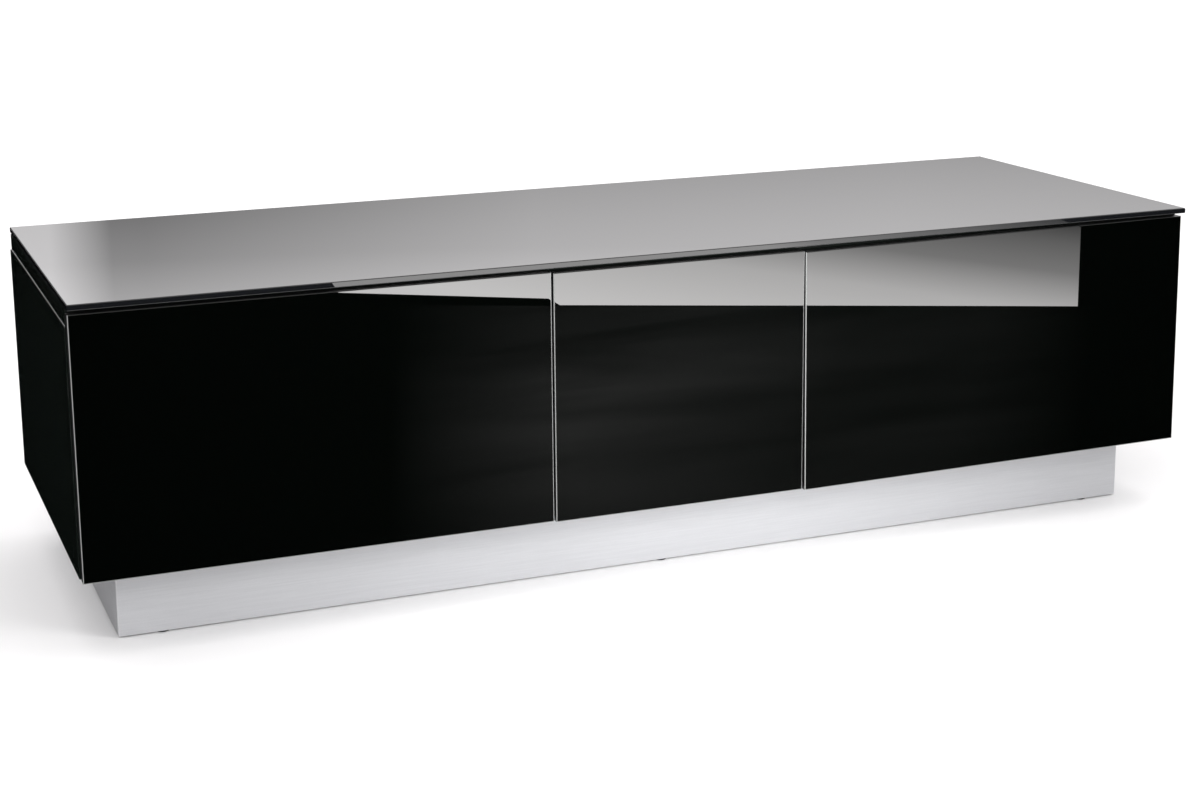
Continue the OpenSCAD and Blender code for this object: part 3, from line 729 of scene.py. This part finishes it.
def add_drawer_screws():
    """Screws through the drawer box into its front, and through the runners into its sides."""
    low, high = corners_of("drawer_inner_front")
    bm = bmesh.new()
    for x in (-80, 80):
        for z in (low.z + 49, high.z - 41):
            pan_screw(bm, (x, high.y, z), (0, 1, 0), *FRONT_SCREW)
    piece_of(bm, "front_fixing_screws", "black_screws", "drawer")
    rail_x = corners_of("drawer_side_right")[1].x + 1.2
    rail_z = middle_of("runner_drawer_rails").z
    along_rail = (-178, -62, 54, 136)
    bm = bmesh.new()
    for side in SIDES:
        for y in along_rail:
            pan_screw(bm, (side * rail_x, y, rail_z), (side, 0, 0), *RAIL_SCREW)
    piece_of(bm, "runner_screws", "zinc_steel", "drawer")


add_back_screws()
add_grommets()
add_block_screws()
add_glides()
add_divider_screws()
add_bumpers()
add_hinge_screws()
add_latches()
add_window_beads()
add_drawer_screws()

# ---- Stage, camera and lights ----

CAMERA_PLACE = (-0.875, -2.171, 0.774)
CAMERA_TURN = 21.81  # degrees to the right of straight ahead
CAMERA_DOWN = 11.89  # degrees below the horizon
CAMERA_ROLL = 0.48
CAMERA_LENS = 63.5
CAMERA_SHIFT = -0.1
LAMP_PLACE = (0.144, -0.8, 0.302)
LAMP_SIZE = (0.396, 0.494)
LAMP_POWER = 5.84
LAMP_TILT = 78.6  # degrees up from straight down
LAMP_TURN = 29.5  # degrees to the left of straight ahead


def add_camera():
    data = bpy.data.cameras.new("camera")
    data.lens = CAMERA_LENS
    data.sensor_width = 36
    data.shift_y = CAMERA_SHIFT
    data.clip_end = 200
    camera = bpy.data.objects.new("camera", data)
    bpy.context.scene.collection.objects.link(camera)
    turn = Matrix.Rotation(math.radians(-CAMERA_TURN), 4, "Z")
    tilt = Matrix.Rotation(math.radians(90 - CAMERA_DOWN), 4, "X")
    roll = Matrix.Rotation(math.radians(-CAMERA_ROLL), 4, "Z")
    camera.matrix_world = Matrix.Translation(CAMERA_PLACE) @ turn @ tilt @ roll
    bpy.context.scene.camera = camera


def stage_mesh(name, corners, material):
    mesh = bpy.data.meshes.new(name)
    mesh.from_pydata([Vector(c) for c in corners], [], [list(range(len(corners)))])
    mesh.materials.append(material)
    thing = bpy.data.objects.new(name, mesh)
    bpy.context.scene.collection.objects.link(thing)
    return thing


def add_floor():
    reach = 40
    corners = [(-reach, -reach, 0), (reach, -reach, 0), (reach, reach, 0), (-reach, reach, 0)]
    pale = surface("floor_paper", (0.93, 0.93, 0.93), 0.95, Specular_IOR_Level=0.0)
    floor = stage_mesh("floor", corners, pale)
    floor.visible_glossy = False


def add_card(name, corners, strength):
    """A soft light on the studio floor that shows only as a reflection.

    corners are (x, y) on the floor, and strength is a function of the nodes.
    """
    material = bpy.data.materials.new(name)
    material.use_nodes = True
    tree = material.node_tree
    tree.nodes.clear()
    nodes = Nodes(tree)
    glow = nodes.add("ShaderNodeEmission", {"Color": (1.0, 0.985, 0.98, 1), "Strength": strength(nodes)})
    output = nodes.add("ShaderNodeOutputMaterial", {})
    tree.links.new(glow.outputs[0], output.inputs["Surface"])
    card = stage_mesh(name, [(x, y, 0.002) for x, y in corners], material)
    card.visible_camera = False
    card.visible_diffuse = False
    card.visible_shadow = False
    card.visible_transmission = False


def card_glow(n):
    """Brightest at the left end, weaker to the right and along the edge far from the cabinet."""
    x, y, _ = n.axes(n.place())
    across = n.math("SUBTRACT", x, n.math("MULTIPLY", n.math("ADD", y, 1.5), 0.6))
    level = n.fade(across, 0.35, 0.85, 12.4, 9.1)
    for start, end, drop in ((0.85, 1.2, -5.3), (1.2, 1.5, -1.4), (1.5, 1.8, -1.9)):
        level = n.math("ADD", level, n.fade(across, start, end, 0.0, drop))
    return n.math("MINIMUM", level, n.fade(y, -1.75, -1.79, 20.0, 5.5))


def floor_glow(n):
    """A dim, streaky glow in front of the middle of the cabinet."""
    x, y, _ = n.axes(n.place())
    rise = n.fade(n.math("ADD", x, n.math("MULTIPLY", y, 0.3)), -0.39, -0.15)
    right = n.math("ADD", x, n.math("MULTIPLY", y, 0.72))
    fall = n.math("ADD", n.fade(right, 0.34, 0.14, 0.0, 0.1), n.fade(right, -0.1, -0.45, 0.0, 0.21))
    near = n.fade(y, -1.3, -1.05, 0.45, 1.0)
    streaks = n.fade(n.noise(2.4, 3, 0.5, (0.6, 1.8, 1), 0.6), 0.35, 0.65, 0.55, 1.25)
    return n.math("MULTIPLY", n.math("MULTIPLY", rise, fall), n.math("MULTIPLY", near, streaks))


def add_cards():
    """Light on the floor in front, for the bright band and the dim glow in the glass fronts."""
    split = 0.3495  # where the left and the right card meet
    far = -2.3
    left = [(0.034, -1.745), (split, -1.553), (split, far), (0.1, far)]
    right = [(split, -1.497), (0.723, -1.329), (1.132, -1.14), (1.55, -1.74), (1.62, far), (split, far)]
    dim = [(-0.5, -0.3), (1.5, -0.3), (1.132, -1.138), (split, -1.49), (-0.5, -1.9)]
    add_card("card_left", left, card_glow)
    add_card("card_right", right, card_glow)
    add_card("card_dim", dim, floor_glow)


def add_plinth_light():
    """A soft lamp in front, turned a little to the left, for the plinth; it makes no reflection."""
    data = bpy.data.lights.new("plinth_light", "AREA")
    data.shape = "RECTANGLE"
    data.size, data.size_y = LAMP_SIZE
    data.energy = LAMP_POWER
    lamp = bpy.data.objects.new("plinth_light", data)
    bpy.context.scene.collection.objects.link(lamp)
    lamp.location = LAMP_PLACE
    lamp.rotation_euler = (math.radians(LAMP_TILT), 0, math.radians(LAMP_TURN))
    lamp.visible_glossy = False
    lamp.visible_camera = False


DEG = math.radians(1)


def wall_light(n, turn, rise):
    """A wall that is brighter higher up and to the right, with a bright window at its left end."""
    wall = n.fade(rise, 8.5 * DEG, 12 * DEG, 0.64, 1.42)
    wall = n.math("ADD", wall, n.fade(rise, 11 * DEG, 12 * DEG, 0, 0.2))
    for start, end, low, high in ((9.5, 20, -0.5, 0.0), (20, 30, 0.0, 0.13), (8.6, 7.0, 0.0, 0.9)):
        wall = n.math("ADD", wall, n.fade(turn, start * DEG, end * DEG, low, high))
    return wall


def dome_light(n, turn, rise, low_down):
    """A soft dome, with a dark flag low down behind to the left."""
    clear = n.math("MAXIMUM", n.fade(turn, -0.5 * DEG, 0.5 * DEG), n.fade(turn, -35 * DEG, -90 * DEG))
    shade = n.math("MULTIPLY", n.math("SUBTRACT", 1.0, clear), low_down)
    flag = n.math("MAXIMUM", n.math("SUBTRACT", 1.0, shade), 0.12)
    return n.math("MULTIPLY", n.fade(rise, 4 * DEG, 38 * DEG, 0.4, 1.35), flag)


def rim_light(n, turn, rise):
    """A bright strip low down behind to the left, for the upper edge of the side panel."""
    strip = n.math("MULTIPLY", n.fade(turn, -18 * DEG, -16 * DEG), n.fade(turn, -7 * DEG, -9 * DEG))
    return n.math("MULTIPLY", strip, n.fade(rise, 9 * DEG, 8 * DEG, 0.0, 2.2))


def studio_light(n):
    """How strong the studio's light is in each direction; turn is to the right of straight behind."""
    x, y, z = n.axes(n.add("ShaderNodeTexCoord", {}).outputs["Generated"])
    turn = n.math("ARCTAN2", x, y)
    rise = n.math("ARCSINE", z)
    low_down = n.fade(rise, 45 * DEG, 25 * DEG)
    across = n.math("MULTIPLY", n.fade(turn, -0.5 * DEG, 0.5 * DEG), n.fade(turn, 75 * DEG, 50 * DEG))
    on_wall = n.math("MULTIPLY", across, low_down)
    wall = n.math("MULTIPLY", wall_light(n, turn, rise), on_wall)
    dome = n.math("MULTIPLY", dome_light(n, turn, rise, low_down), n.math("SUBTRACT", 1.0, on_wall))
    level = n.math("ADD", n.math("ADD", wall, dome), n.fade(rise, 30 * DEG, 55 * DEG, 0.0, 0.3))
    level = n.math("MAXIMUM", level, n.fade(rise, 40 * DEG, 60 * DEG, 0.0, 1.5))
    level = n.math("MAXIMUM", level, rim_light(n, turn, rise))
    return n.math("MULTIPLY", level, n.fade(rise, -0.5 * DEG, 0.5 * DEG))


def add_world():
    """The studio lights the cabinet and shows in it, and the camera itself sees plain white."""
    world = bpy.data.worlds.new("studio")
    bpy.context.scene.world = world
    world.use_nodes = True
    tree = world.node_tree
    tree.nodes.clear()
    n = Nodes(tree)
    light = studio_light(n)
    studio = n.add("ShaderNodeBackground", {"Color": (1.0, 0.985, 0.992, 1), "Strength": light})
    plain = n.add("ShaderNodeBackground", {"Color": (1, 1, 1, 1), "Strength": 1.0})
    path = n.add("ShaderNodeLightPath", {})
    both = n.add("ShaderNodeMixShader", {})
    tree.links.new(path.outputs["Is Camera Ray"], both.inputs[0])
    tree.links.new(studio.outputs[0], both.inputs[1])
    tree.links.new(plain.outputs[0], both.inputs[2])
    output = n.add("ShaderNodeOutputWorld", {})
    tree.links.new(both.outputs[0], output.inputs["Surface"])


def add_stage():
    add_floor()
    add_cards()
    add_plinth_light()
    add_world()
    add_camera()
    bpy.context.scene.view_settings.view_transform = "Standard"


add_stage()
